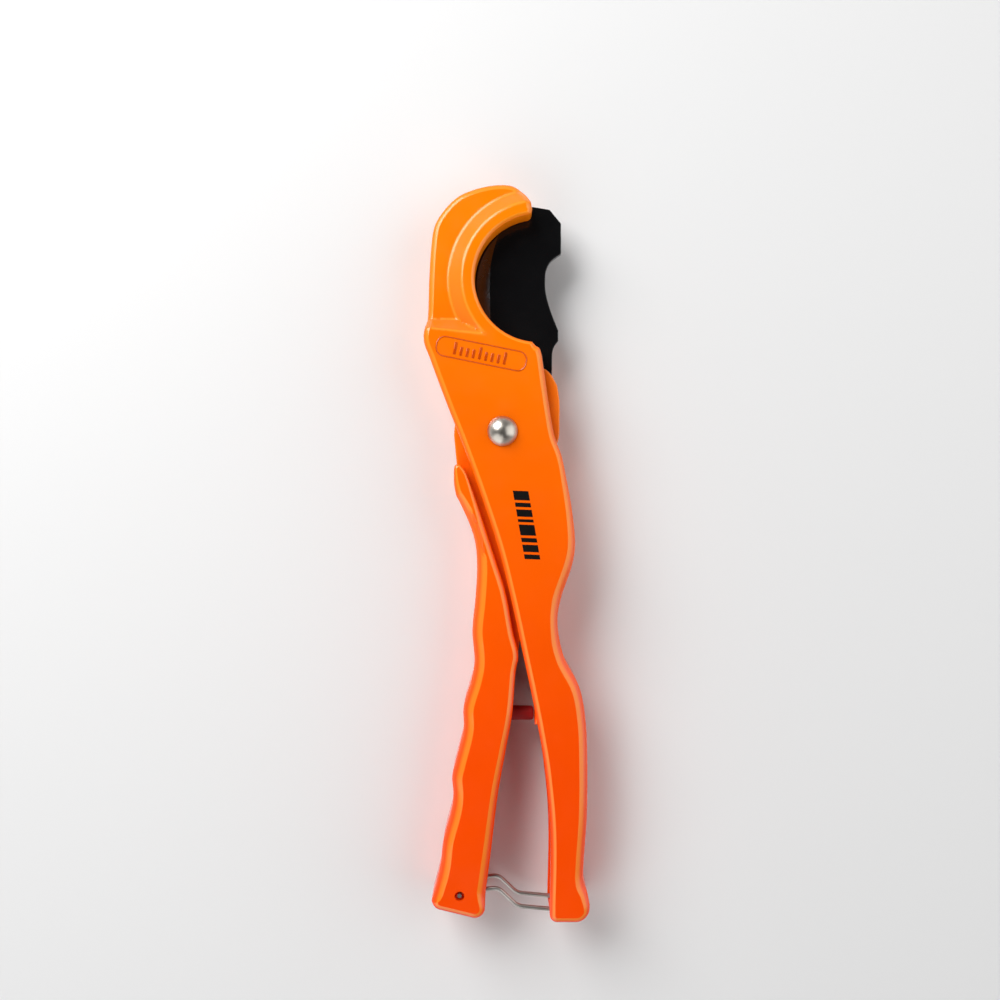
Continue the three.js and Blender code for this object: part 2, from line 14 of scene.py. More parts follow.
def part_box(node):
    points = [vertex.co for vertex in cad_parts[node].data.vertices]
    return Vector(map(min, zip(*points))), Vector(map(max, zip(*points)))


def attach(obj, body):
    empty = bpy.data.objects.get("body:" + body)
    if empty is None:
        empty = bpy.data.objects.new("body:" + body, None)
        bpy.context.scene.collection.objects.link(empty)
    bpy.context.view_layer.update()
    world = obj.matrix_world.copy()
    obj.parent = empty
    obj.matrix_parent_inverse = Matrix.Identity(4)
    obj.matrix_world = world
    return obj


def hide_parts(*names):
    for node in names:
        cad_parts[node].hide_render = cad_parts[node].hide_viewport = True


MM = 0.001

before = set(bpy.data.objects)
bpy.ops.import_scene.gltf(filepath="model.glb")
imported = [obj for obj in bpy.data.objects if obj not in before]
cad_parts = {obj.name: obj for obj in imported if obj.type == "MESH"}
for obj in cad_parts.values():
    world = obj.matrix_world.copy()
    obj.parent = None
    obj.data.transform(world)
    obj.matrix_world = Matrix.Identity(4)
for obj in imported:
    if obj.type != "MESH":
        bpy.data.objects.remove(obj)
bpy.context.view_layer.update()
rivet_low, rivet_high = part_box("pivot_rivet")
casting_low, casting_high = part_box("fixed_casting")
PIVOT = Vector(
    (
        (rivet_low[0] + rivet_high[0]) / 2,
        (rivet_low[1] + rivet_high[1]) / 2,
        (casting_low[2] + casting_high[2]) / 2,
    )
)

# ---------------------------------------------------------------- sizes, as the castings are made

JAW_RADIUS = 17.75
SEAT_HEIGHT = 24.65
JAW_X = 10.0
JAW_Y = SEAT_HEIGHT + JAW_RADIUS
HANDLE_LENGTH = 136.0
BODY_HALF = 9.0
CAVITY_HALF = 5.9
SPINE = 3.0
END_WALL = 2.4
CASTING_END_WALL = 1.3
END_SLANT = 1.1
LANDING_RISE = 0.3
WEB_DROP = 3.0
RIM_TOP = 3.45
RIM_SLOPE = 4.0
TIP_ROUND = 1.7
HOOK_LEFT = JAW_X - JAW_RADIUS - 12.75
MOVING_HALF = 8.6
MOVING_END = -133.9
GRIP_WALL = 2.8
LUG_RADIUS = 16.3
LUG_HALF = 4.9
BLADE_HALF = 1.25
BLADE_REACH = 64.6
EDGE_X = JAW_X - JAW_RADIUS - 1.6
GRIND_WIDTH = 6.0
BROKEN_EDGE = 0.18
EYE_BORE = 5.0
BAIL_PIN = (-11.9, -0.9456 * HANDLE_LENGTH)
BAIL_WIRE = 1.2
BAR = (17.4, -133.75)
BUFFER_Y = -0.5846 * HANDLE_LENGTH
BLADE_PINS = ((52, 15.2), (97, 13.6))  # each an angle round the pivot and a radius
PIN_RADIUS = 1.4
PIN_HOLE = 1.65
BAIL_HOLE = 1.35
RIVET_SHANK = 3.0
RIVET_HOLE = 3.25
RIVET_HEAD_RADIUS = 4.2
RIVET_HEAD_HEIGHT = 2.5
SPRING_WIRE = 1.1
SPRING_TURNS = 2.5
SPRING_START = 218
GAP = 0.25  # between pieces that seat on or in each other
RUNNING_GAP = 0.35  # between pieces that turn past each other
RIB_HALF = 0.8
THROUGH = 20  # half the height of a cutter that goes right through

# ---------------------------------------------------------------- lines


def catmull(t, before, start, end, after):
    """A smooth step from start to end, as one number."""
    lead, trail = (end - before) / 2, (after - start) / 2
    cubic = 2 * start - 2 * end + lead + trail
    square = -3 * start + 3 * end - 2 * lead - trail
    return cubic * t**3 + square * t**2 + lead * t + start


def smooth(points, pitch=0.7):
    """A smooth line through the points, with a point about every pitch."""
    line, last = [], len(points) - 1
    for i in range(last):
        near = (points[max(i - 1, 0)], points[i], points[i + 1], points[min(i + 2, last)])
        steps = max(2, round(math.dist(points[i], points[i + 1]) / pitch))
        line += [tuple(catmull(k / steps, *axis) for axis in zip(*near)) for k in range(steps)]
    return line + [tuple(points[last])]


def arc(x, y, radius, start, end, pitch=0.5):
    """Part of a circle, between two angles in degrees."""
    steps = max(3, round(abs(math.radians(end - start)) * radius / pitch))
    angles = [math.radians(start + (end - start) * i / steps) for i in range(steps + 1)]
    return [(x + radius * math.cos(a), y + radius * math.sin(a)) for a in angles]


def polar(angle, radius):
    """A point at an angle in degrees round the pivot."""
    return radius * math.cos(math.radians(angle)), radius * math.sin(math.radians(angle))


def around_jaw(angle, beyond):
    """A point at an angle round the jaw's centre, so far beyond the seat."""
    x, y = polar(angle, JAW_RADIUS + beyond)
    return JAW_X + x, JAW_Y + y


def stations(*pairs):
    """Points along a handle, each an x and a share of the handle's length below the pivot."""
    return [(x, -share * HANDLE_LENGTH) for x, share in pairs]


def closed(*stretches):
    """One closed line, anticlockwise, with no point twice."""
    line = []
    for p in (p for stretch in stretches for p in stretch):
        if not line or math.dist(p, line[-1]) > 0.04:
            line.append(p)
    if math.dist(line[0], line[-1]) < 0.04:
        line.pop()
    turn = sum(a[0] * b[1] - b[0] * a[1] for a, b in zip(line, line[1:] + line[:1]))
    return line if turn > 0 else line[::-1]


def divided(line, longest=0.8):
    """The closed line with its long straight runs split."""
    fuller = []
    for a, b in zip(line, line[1:] + line[:1]):
        steps = math.ceil(math.dist(a, b) / longest)
        fuller += [(a[0] + (b[0] - a[0]) * i / steps, a[1] + (b[1] - a[1]) * i / steps) for i in range(steps)]
    return fuller


def edge_at(edge, y):
    """The x of a handle's edge at one height."""
    rows = sorted((p[1], p[0]) for p in edge)
    return float(np.interp(y, [r[0] for r in rows], [r[1] for r in rows]))


INNER_EDGE = stations(
    (-10.5, 0.037),
    (-5.4, 0.142),
    (-1.0, 0.242),
    (2.4, 0.343),
    (5.4, 0.445),
    (7.9, 0.531),
    (9.9, 0.606),
    (11.7, 0.685),
    (13.1, 0.785),
    (13.4, 0.866),
    (13.1, 0.965),
)
PALM_EDGE = stations(
    (24.2, 0.965),
    (23.6, 0.942),
    (22.5, 0.915),
    (22.7, 0.868),
    (23.5, 0.778),
    (23.6, 0.668),
    (23.1, 0.589),
    (21.4, 0.523),
    (17.1, 0.46),
    (15.3, 0.392),
    (16.3, 0.34),
    (19.2, 0.277),
    (20.2, 0.23),
    (19.4, 0.165),
    (17.9, 0.102),
    (16.4, 0.05),
)
CHEEK_FRONT = [(14.3, -1), (12.9, 7), (11.8, 14.6), (10.9, SEAT_HEIGHT - 3.6)]
FINGER_EDGE = stations(
    (-12.9, 0.13),
    (-12.0, 0.143),
    (-9.4, 0.185),
    (-7.6, 0.228),
    (-7.1, 0.28),
    (-7.6, 0.345),
    (-8.4, 0.407),
    (-7.8, 0.466),
    (-8.6, 0.506),
    (-10.8, 0.562),
    (-10.9, 0.61),
    (-13.1, 0.676),
    (-14.0, 0.706),
    (-13.7, 0.742),
    (-14.3, 0.776),
    (-16.4, 0.834),
    (-17.2, 0.882),
    (-18.4, 0.922),
    (-19.7, 0.957),
)
WEDGE_EDGE = stations(
    (-4.8, 0.95),
    (-3.2, 0.859),
    (-1.2, 0.739),
    (0.9, 0.652),
    (2.7, 0.577),
    (3.6, 0.495),
    (4.4, 0.455),
)
SHOULDER_EDGE = stations(
    (2.9, 0.408),
    (0.9, 0.329),
    (-2.2, 0.256),
    (-4.6, 0.201),
    (-7.3, 0.142),
    (-10.0, 0.088),
    (-11.6, 0.068),
)


def casting_line():
    """The outline of the hook, the cheeks and the fixed handle."""
    seat = arc(JAW_X, JAW_Y, JAW_RADIUS, 264, 100.3, 0.6)
    tip = arc(*around_jaw(100.3, TIP_ROUND), TIP_ROUND, 280.3, 375, 0.3)
    back = [
        around_jaw(95.6, 3.4),
        around_jaw(98.4, 6),
        around_jaw(103, 8.7),
        around_jaw(108, 10.3),
        around_jaw(116.5, 11.9),
        around_jaw(126, 13.5),
        around_jaw(134, 14.7),
        around_jaw(143, 15.1),
        around_jaw(152, 15),
        (HOOK_LEFT + 0.6, JAW_Y + 9.9),
        (HOOK_LEFT, JAW_Y + 0.7),
        (HOOK_LEFT - 0.4, SEAT_HEIGHT + 7.4),
        (HOOK_LEFT - 1.4, SEAT_HEIGHT + 1),
        (-19.9, 19.6),
        (-15.7, 8.3),
    ]
    foot_left = arc(INNER_EDGE[-1][0] + 2, -HANDLE_LENGTH + 2, 2, 180, 270, 0.4)
    foot_right = arc(PALM_EDGE[0][0] - 4, -HANDLE_LENGTH + 4, 4, 270, 350, 0.4)
    corner = arc(CHEEK_FRONT[-1][0] - 2, SEAT_HEIGHT - 2.7, 1.7, 10, 75, 0.3)
    sides = smooth(back + INNER_EDGE), smooth(PALM_EDGE + CHEEK_FRONT)
    return closed(seat, tip, sides[0], foot_left, foot_right, sides[1], corner)


def grip_line():
    """The outline of the moving handle's thick part."""
    left = arc(FINGER_EDGE[-1][0] + 3, MOVING_END + END_SLANT + 3, 3, 190, 259, 0.4)
    right = arc(WEDGE_EDGE[0][0] - 2.9, MOVING_END - END_SLANT + 2.9, 2.9, 262, 350, 0.4)
    top = [(-12.3, -9.1), (-13.3, -9.6), (-13.5, -12), (-13.4, -15)]
    return closed(smooth(top + FINGER_EDGE), left, right, smooth(WEDGE_EDGE + SHOULDER_EDGE))


def eye_line():
    """The outline of the thin part that turns between the cheeks and carries the blade."""
    r = LUG_RADIUS
    rear = [(-12.6, -11), (-13.3, -4), polar(178, 13.5), polar(150, 14.1)]
    crown = [polar(125, r - 0.7), polar(98, r), polar(76, r + 0.7)]
    lobe = [polar(62, r + 4.2), polar(55, r + 5), polar(48.5, r + 4.7)]
    front = [
        polar(40, r + 3.8),
        polar(28, r + 1.8),
        polar(14, r + 0.2),
        polar(-6, r - 0.4),
        polar(-24, r - 1),
        polar(-38, r - 1.2),
        (11.4, -0.13 * HANDLE_LENGTH),
    ]
    root = [
        WEDGE_EDGE[-1],
        (WEDGE_EDGE[-2][0] - 1, WEDGE_EDGE[-2][1]),
        (-3, -0.45 * HANDLE_LENGTH),
        (-4, -0.28 * HANDLE_LENGTH),
        (-6.6, -0.2 * HANDLE_LENGTH),
    ]
    return closed(smooth(rear + crown), smooth(lobe), smooth(front), root)


# ---------------------------------------------------------------- making pieces

EDGE_FALL = 0.8  # how far a casting's edge drops, as a share of the width of its rounding
CREASE = 0.4  # the share of that drop that is a straight slope


def placed(x, y, z):
    """A point of the layout, in metres."""
    return PIVOT + Vector((x, y, z)) * MM


def choose(piece):
    """piece alone is selected and active."""
    bpy.ops.object.select_all(action="DESELECT")
    piece.select_set(True)
    bpy.context.view_layer.objects.active = piece


def drawn_in(line, depth):
    """The closed line moved inwards, by one depth or by one for each point."""
    points = np.array(line)
    ahead = np.roll(points, -1, axis=0) - points
    ahead /= np.linalg.norm(ahead, axis=1)[:, None]
    behind = np.roll(ahead, 1, axis=0)
    inward = np.stack([-(ahead + behind)[:, 1], (ahead + behind)[:, 0]], axis=1)
    spread = 1 + (ahead * behind).sum(axis=1)
    return points + inward * (np.broadcast_to(depth, len(line)) / np.maximum(spread, 0.3))[:, None]


def plate(name, line, profile):
    """A solid with that closed outline. profile lists, from the bottom face to the top one, how far the
    outline is drawn in and its height."""
    bpy.ops.object.select_all(action="DESELECT")
    bpy.ops.mesh.primitive_circle_add(vertices=len(line), radius=MM, fill_type="NGON")
    piece = bpy.context.object
    piece.name = name
    bpy.ops.object.mode_set(mode="EDIT")
    mesh = bmesh.from_edit_mesh(piece.data)
    ring = {v.index: i for i, v in enumerate(mesh.faces[:][0].verts)}
    for step, (depth, height) in enumerate(profile):
        if step:
            bpy.ops.mesh.extrude_region_move()
            mesh = bmesh.from_edit_mesh(piece.data)
            mesh.verts.index_update()
            cap = next(f for f in mesh.faces if f.select)
            fresh = {}
            for v in cap.verts:
                old = next(e.other_vert(v).index for e in v.link_edges if e.other_vert(v).index in ring)
                fresh[v.index] = ring[old]
            ring = fresh
        mesh.verts.ensure_lookup_table()
        where = drawn_in(line, depth)
        for index, i in ring.items():
            mesh.verts[index].co = placed(*where[i], height)
        bmesh.update_edit_mesh(piece.data)
    bpy.ops.mesh.select_all(action="SELECT")
    bpy.ops.mesh.normals_make_consistent(inside=False)
    bpy.ops.object.mode_set(mode="OBJECT")
    return piece


def straight(name, line, low, high):
    return plate(name, line, [(0, low), (0, high)])


def eased(name, line, low, high, ease=0.3):
    """A plate whose edges are broken by a small round."""
    steps = [(ease * (1 - math.sin(a)), ease * (1 - math.cos(a))) for a in (0, 0.52, 1.05, 1.57)]
    rise = [(depth, low + lift) for depth, lift in steps]
    return plate(name, line, rise + [(depth, high - lift) for depth, lift in reversed(steps)])


def box(name, low, high):
    (x0, y0, z0), (x1, y1, z1) = low, high
    return straight(name, [(x0, y0), (x1, y0), (x1, y1), (x0, y1)], z0, z1)


def disc(name, x, y, radius, low, high):
    return straight(name, arc(x, y, radius, 0, 360, 0.35)[:-1], low, high)


def combine(piece, others, operation):
    """The others are joined to piece, or cut from it, one after another."""
    for other in others:
        choose(piece)
        work = piece.modifiers.new("combine", "BOOLEAN")
        work.operation = operation
        work.solver = "EXACT"
        work.object = other
        bpy.ops.object.modifier_apply(modifier=work.name)
        bpy.data.objects.remove(other)
    return piece


def turned(name, profile, x=0, y=0, sides=72):
    """A turned piece about a line along z. profile runs from the axis round to the axis."""
    bpy.ops.object.select_all(action="DESELECT")
    bpy.ops.mesh.primitive_circle_add(vertices=len(profile), radius=MM)
    piece = bpy.context.object
    piece.name = name
    for v, (radius, height) in zip(piece.data.vertices, profile):
        v.co = placed(x + radius, y, height)
    bpy.ops.object.mode_set(mode="EDIT")
    bpy.ops.mesh.select_all(action="SELECT")
    bpy.ops.mesh.spin(
        steps=sides,
        angle=math.tau,
        center=placed(x, y, 0),
        axis=(0, 0, 1),
    )
    bpy.ops.mesh.select_all(action="SELECT")
    bpy.ops.mesh.remove_doubles(threshold=1e-6)
    bpy.ops.mesh.normals_make_consistent(inside=False)
    bpy.ops.object.mode_set(mode="OBJECT")
    return piece


def wire(name, points, diameter, sides=4):
    """Round wire along a smooth line through points in space."""
    curve = bpy.data.curves.new(name, "CURVE")
    curve.dimensions = "3D"
    curve.bevel_depth = diameter / 2 * MM
    curve.bevel_resolution = sides
    curve.use_fill_caps = True
    run = curve.splines.new("POLY")
    run.points.add(len(points) - 1)
    for point, at in zip(run.points, points):
        point.co = (*placed(*at), 1)
    piece = bpy.data.objects.new(name, curve)
    bpy.context.collection.objects.link(piece)
    choose(piece)
    bpy.ops.object.convert(target="MESH")
    return bpy.context.object


def skinned(name, verts, skin):
    """A closed piece from its points and faces, with the faces pointing outwards."""
    mesh = bpy.data.meshes.new(name)
    mesh.from_pydata(verts, [], skin)
    piece = bpy.data.objects.new(name, mesh)
    bpy.context.collection.objects.link(piece)
    choose(piece)
    bpy.ops.object.mode_set(mode="EDIT")
    bpy.ops.mesh.select_all(action="SELECT")
    bpy.ops.mesh.normals_make_consistent(inside=False)
    bpy.ops.object.mode_set(mode="OBJECT")
    return piece


def soft_step(t, ease=0.09):
    """0 below 0 and 1 above 1, with a straight slope between and an eased bend at each end."""

    def area(u):
        return np.where(u < 0, 0, np.where(u < 1, u * u / 2, u - 0.5))

    return (area(t + ease) - area(t - ease)) / (2 * ease)


def from_edge(line, widths, points):
    """How far each point lies from the closed line, and the width given for the line's nearest place."""
    nearest, width = np.full(len(points), 1e9), np.zeros(len(points))
    ends, ahead = np.roll(line, -1, axis=0), np.roll(widths, -1)
    for start, end, here, there in zip(line, ends, widths, ahead):
        run = end - start
        share = np.clip(((points - start) @ run) / (run @ run), 0, 1)
        gap = points - start - share[:, None] * run
        gap = (gap * gap).sum(axis=1)
        closer = gap < nearest
        nearest[closer] = gap[closer]
        width[closer] = here + (there - here) * share[closer]
    return np.sqrt(nearest), width


def inside(line, points):
    """Whether each point lies inside the closed line."""
    held = np.zeros(len(points), dtype=bool)
    for (x0, y0), (x1, y1) in zip(line, np.roll(line, -1, axis=0)):
        spans = (y0 > points[:, 1]) != (y1 > points[:, 1])
        if spans.any():
            cross = x0 + (points[:, 1] - y0) * (x1 - x0) / (y1 - y0 + 1e-12)
            held ^= spans & (points[:, 0] < cross)
    return held


def relief(name, line, height, edge_width, coarse=1.8, fine=0.5):
    """A casting that is the same on its front and its rear: its faces stand at height(x, y), and along its
    edge they fall away, from a faint crease, over a band as wide as edge_width says."""
    line = np.array(divided(line))
    widths = edge_width(line[:, 0], line[:, 1])
    rows = [line]
    for share in (0.04, 0.12, 0.25, 0.42, 0.62, 0.82, 0.95, 1.0, 1.08, 1.35):
        ring = drawn_in(line, widths * share)
        ring = ring[inside(line, ring)]
        gap, width = from_edge(line, widths, ring)
        rows.append(ring[gap > 0.95 * share * width])
    low, high = line.min(axis=0), line.max(axis=0)
    for pitch in (coarse, fine):
        xs, ys = np.arange(low[0], high[0], pitch), np.arange(low[1], high[1], pitch)
        grid = np.stack(np.meshgrid(xs, ys), axis=-1).reshape(-1, 2)
        grid[:, 0] += (np.round(grid[:, 1] / pitch) % 2) * pitch / 2
        if pitch == fine:
            steps = [(a, b) for a in (-0.8, 0, 0.8) for b in (-0.8, 0, 0.8)]
            around = [height(grid[:, 0] + a, grid[:, 1] + b) for a, b in steps]
            grid = grid[np.ptp(np.array(around), axis=0) > 0.02]
        grid = grid[inside(line, grid)]
        if len(grid):
            gap, width = from_edge(line, widths, grid)
            rows.append(grid[gap > 1.5 * width])
    points = np.concatenate(rows)
    outline = list(range(len(line)))
    found, _, faces, origins, _, _ = delaunay_2d_cdt(
        [Vector(p) for p in points.tolist()], [], [outline], 1, 1e-5
    )
    flat = np.array([(v.x, v.y) for v in found])
    gap, width = from_edge(line, widths, flat)
    share = np.clip(1 - gap / width, 0, 1)
    fall = CREASE * share + (1 - CREASE) * (1 - np.sqrt(1 - share**2))
    top = height(flat[:, 0], flat[:, 1]) - EDGE_FALL * width * fall
    count = len(flat)
    place = {source: i for i, sources in enumerate(origins) for source in sources}
    rim = [place[i] for i in outline]
    verts = [placed(x, y, z) for (x, y), z in zip(flat, top)]
    verts += [placed(x, y, -z) for (x, y), z in zip(flat, top)]
    skin = [tuple(f) for f in faces]
    skin += [tuple(i + count for i in reversed(f)) for f in faces]
    for a, b in zip(rim, rim[1:] + rim[:1]):
        skin.append((b, a, a + count, b + count))
    return skinned(name, verts, skin)


# ---------------------------------------------------------------- finishes


def group(name, inputs, outputs):
    """An empty shader node group with those sockets, each a name, a kind and a first value."""
    tree = bpy.data.node_groups.new(name, "ShaderNodeTree")
    for label, kind, value in inputs:
        socket = tree.interface.new_socket(label, in_out="INPUT", socket_type=kind)
        socket.default_value = value
    for label, kind in outputs:
        tree.interface.new_socket(label, in_out="OUTPUT", socket_type=kind)
    return tree, tree.nodes.new("NodeGroupInput"), tree.nodes.new("NodeGroupOutput")


def node(tree, kind, settings=None, links=None):
    """A node with its settings and the links and values of its inputs."""
    made = tree.nodes.new(kind)
    for key, value in (settings or {}).items():
        setattr(made, key, value)
    for key, value in (links or {}).items():
        if isinstance(value, bpy.types.NodeSocket):
            tree.links.new(value, made.inputs[key])
        else:
            made.inputs[key].default_value = value
    return made


def noise(tree, where, scale, detail, roughness=0.5):
    settings = {"Vector": where, "Scale": scale, "Detail": detail, "Roughness": roughness}
    return node(tree, "ShaderNodeTexNoise", None, settings).outputs["Fac"]


def spread(tree, value, low, high, to_low, to_high):
    links = {"Value": value, "From Min": low, "From Max": high, "To Min": to_low, "To Max": to_high}
    return node(tree, "ShaderNodeMapRange", None, links).outputs["Result"]


def math_node(tree, operation, one, other):
    return node(tree, "ShaderNodeMath", {"operation": operation}, {0: one, 1: other}).outputs[0]


def mixed(tree, share, one, other):
    links = {"Factor": share, 6: one, 7: other}
    return node(tree, "ShaderNodeMix", {"data_type": "RGBA"}, links).outputs[2]


def bumped(tree, height, depth, strength):
    links = {"Strength": strength, "Distance": depth, "Height": height}
    return node(tree, "ShaderNodeBump", None, links).outputs["Normal"]


def give_out(tree, leave, color, roughness, normal):
    """Links what each finish's group puts out."""
    for label, socket in (("Color", color), ("Roughness", roughness), ("Normal", normal)):
        tree.links.new(socket, leave.inputs[label])


def levelness(tree):
    """1 where the surface faces straight up or down in its own piece's space, 0 where it is upright."""
    facing = node(tree, "ShaderNodeTexCoord").outputs["Normal"]
    upright = node(tree, "ShaderNodeSeparateXYZ", None, {0: facing}).outputs["Z"]
    return node(tree, "ShaderNodeMath", {"operation": "ABSOLUTE"}, {0: upright}).outputs[0]


def make_enamel():
    """Glossy enamel over a casting, with painted light: it is lighter towards the head and darker towards the
    handle's end, and a painted highlight lightens its sloping edge bands. It has the slight orange peel of
    sprayed paint over the casting's own slow waves."""
    tree, enter, leave = group(
        "sprayed_enamel",
        [
            ("Tone", "NodeSocketColor", (1, 0.1, 0, 1)),
            # painted light: the next input is the darker colour that the enamel takes towards the handle's end,
            # as if less lit there
            ("Shaded End Tone", "NodeSocketColor", (1, 0.1, 0, 1)),
            # painted highlight: the next two inputs give the lighter colour on the sloping edge bands, and how
            # much of it
            ("Edge Highlight Tone", "NodeSocketColor", (1, 0.2, 0, 1)),
            ("Edge Highlight Share", "NodeSocketFloat", 0.4),
            ("Peel", "NodeSocketFloat", 0.1),
            ("Sheen Low", "NodeSocketFloat", 0.2),
            ("Sheen High", "NodeSocketFloat", 0.3),
        ],
        [("Color", "NodeSocketColor"), ("Roughness", "NodeSocketFloat"), ("Normal", "NodeSocketVector")],
    )
    here = node(tree, "ShaderNodeTexCoord").outputs["Object"]
    apart = node(tree, "ShaderNodeSeparateXYZ", None, {0: here}).outputs
    # painted light: the colour runs from the lighter tone at the head to the darker one at the handle's end
    along = spread(tree, apart["Y"], -0.072, 0.085, 0.0, 1.0)
    along = math_node(tree, "POWER", along, 1.6)
    base = mixed(tree, along, enter.outputs["Shaded End Tone"], enter.outputs["Tone"])
    cloud = spread(tree, noise(tree, here, 45.0, 3.0), 0.35, 0.7, 0.0, 0.1)
    base = mixed(tree, cloud, base, (0.62, 0.035, 0.0, 1))
    # painted highlight: the sloping edge bands, neither level nor steep, are lightened towards the edge colour
    level = levelness(tree)
    leaning = spread(tree, level, 0.998, 0.965, 0.0, 1.0)
    not_steep = spread(tree, level, 0.81, 0.9, 0.0, 1.0)
    highlight_band = math_node(tree, "MULTIPLY", leaning, not_steep)
    share = math_node(tree, "MULTIPLY", highlight_band, enter.outputs["Edge Highlight Share"])
    color = mixed(tree, share, base, enter.outputs["Edge Highlight Tone"])
    patch = noise(tree, here, 160.0, 4.0)
    sheen = spread(tree, patch, 0.3, 0.7, enter.outputs["Sheen Low"], enter.outputs["Sheen High"])
    peel = noise(tree, here, 900.0, 2.0)
    waves = math_node(tree, "MULTIPLY", noise(tree, here, 110.0, 2.0), 4.0)
    lumps = math_node(tree, "ADD", peel, waves)
    give_out(tree, leave, color, sheen, bumped(tree, lumps, 0.00005, enter.outputs["Peel"]))
    return tree


def make_handled_metal():
    """Metal with a fine grain and the soft smears of handling."""
    tree, enter, leave = group(
        "handled_metal",
        [
            ("Tone", "NodeSocketColor", (0.6, 0.6, 0.6, 1)),
            ("Dull Tone", "NodeSocketColor", (0.4, 0.4, 0.4, 1)),
            ("Grain", "NodeSocketFloat", 400.0),
            ("Depth", "NodeSocketFloat", 0.1),
            ("Sheen Low", "NodeSocketFloat", 0.2),
            ("Sheen High", "NodeSocketFloat", 0.35),
        ],
        [("Color", "NodeSocketColor"), ("Roughness", "NodeSocketFloat"), ("Normal", "NodeSocketVector")],
    )
    here = node(tree, "ShaderNodeTexCoord").outputs["Object"]
    smear = noise(tree, here, 130.0, 5.0, 0.6)
    share = spread(tree, smear, 0.35, 0.7, 0.0, 1.0)
    color = mixed(tree, share, enter.outputs["Tone"], enter.outputs["Dull Tone"])
    sheen = spread(tree, smear, 0.3, 0.7, enter.outputs["Sheen Low"], enter.outputs["Sheen High"])
    grain = noise(tree, here, enter.outputs["Grain"], 3.0, 0.7)
    give_out(tree, leave, color, sheen, bumped(tree, grain, 0.00004, enter.outputs["Depth"]))
    return tree


def make_ground_coating():
    """A black coating, and another look on a shallow ground bevel, with the wheel's fine lines across it."""
    tree, enter, leave = group(
        "ground_coating",
        [
            ("Tone", "NodeSocketColor", (0.005, 0.005, 0.005, 1)),
            ("Bare Tone", "NodeSocketColor", (0.6, 0.6, 0.6, 1)),
            ("Sheen", "NodeSocketFloat", 0.16),
            ("Bare Sheen", "NodeSocketFloat", 0.3),
            ("Depth", "NodeSocketFloat", 0.1),
        ],
        [
            ("Color", "NodeSocketColor"),
            ("Roughness", "NodeSocketFloat"),
            ("Metallic", "NodeSocketFloat"),
            ("Normal", "NodeSocketVector"),
        ],
    )
    here = node(tree, "ShaderNodeTexCoord").outputs["Object"]
    level = levelness(tree)
    leaning = spread(tree, level, 0.994, 0.99, 0.0, 1.0)
    shallow = spread(tree, level, 0.94, 0.96, 0.0, 1.0)
    bare = math_node(tree, "MULTIPLY", leaning, shallow)
    color = mixed(tree, bare, enter.outputs["Tone"], enter.outputs["Bare Tone"])
    cloud = spread(tree, noise(tree, here, 140.0, 4.0), 0.3, 0.7, -0.04, 0.06)
    links = {0: bare, 2: enter.outputs["Sheen"], 3: enter.outputs["Bare Sheen"]}
    sheen = node(tree, "ShaderNodeMix", None, links).outputs[0]
    sheen = math_node(tree, "ADD", sheen, cloud)
    stretched = node(tree, "ShaderNodeMapping", None, {"Vector": here, "Scale": (0.06, 1.0, 1.0)})
    lines = noise(tree, stretched.outputs["Vector"], 3200.0, 2.0)
    give_out(tree, leave, color, sheen, bumped(tree, lines, 0.00003, enter.outputs["Depth"]))
    tree.links.new(bare, leave.inputs["Metallic"])
    return tree


def material(name, tree, values, constants):
    """A material whose Principled shader takes its colour, roughness, normal and, where there is one, its
    metal from a group."""
    made = bpy.data.materials.new(name)
    made.use_nodes = True
    shader = made.node_tree.nodes["Principled BSDF"]
    source = made.node_tree.nodes.new("ShaderNodeGroup")
    source.node_tree = tree
    for key, value in values.items():
        source.inputs[key].default_value = value
    for key, value in constants.items():
        shader.inputs[key].default_value = value
    for socket in source.outputs:
        into = "Base Color" if socket.name == "Color" else socket.name
        made.node_tree.links.new(socket, shader.inputs[into])
    return made


ENAMEL = make_enamel()
METAL = make_handled_metal()

orange_enamel = material(
    "orange_enamel",
    ENAMEL,
    {
        "Tone": (1.0, 0.235, 0.0, 1),
        # painted light: darker towards the handle's end
        "Shaded End Tone": (1.0, 0.075, 0.0, 1),
        # painted highlight on the sloping edge bands
        "Edge Highlight Tone": (1.0, 0.37, 0.03, 1),
        "Edge Highlight Share": 0.5,
        "Peel": 0.2,
        "Sheen Low": 0.16,
        "Sheen High": 0.26,
    },
    {"IOR": 1.5},
)
# painted shade: a darker copy of the orange enamel for the raised size frame and its ticks, standing in for the
# shade along their thin lines
painted_shade_enamel = material(
    "painted_shade_enamel",
    ENAMEL,
    {
        "Tone": (0.6, 0.07, 0.0, 1),
        # painted light: darker towards the handle's end
        "Shaded End Tone": (0.5, 0.05, 0.0, 1),
        # painted highlight on the sloping edge bands
        "Edge Highlight Tone": (0.85, 0.14, 0.0, 1),
        "Edge Highlight Share": 0.3,
        "Peel": 0.2,
        "Sheen Low": 0.16,
        "Sheen High": 0.26,
    },
    {"IOR": 1.5},
)
black_coating = material(
    "black_coating",
    make_ground_coating(),
    {
        "Tone": (0.004, 0.004, 0.0045, 1),
        "Bare Tone": (0.085, 0.085, 0.09, 1),
        "Sheen": 0.14,
        "Bare Sheen": 0.24,
        "Depth": 0.05,
    },
    {"IOR": 1.5},
)
nickel_plate = material(
    "nickel_plate",
    METAL,
    {
        "Tone": (0.64, 0.6, 0.54, 1),
        "Dull Tone": (0.5, 0.46, 0.4, 1),
        "Grain": 500.0,
        "Depth": 0.1,
        "Sheen Low": 0.24,
        "Sheen High": 0.36,
    },
    {"Metallic": 1.0},
)
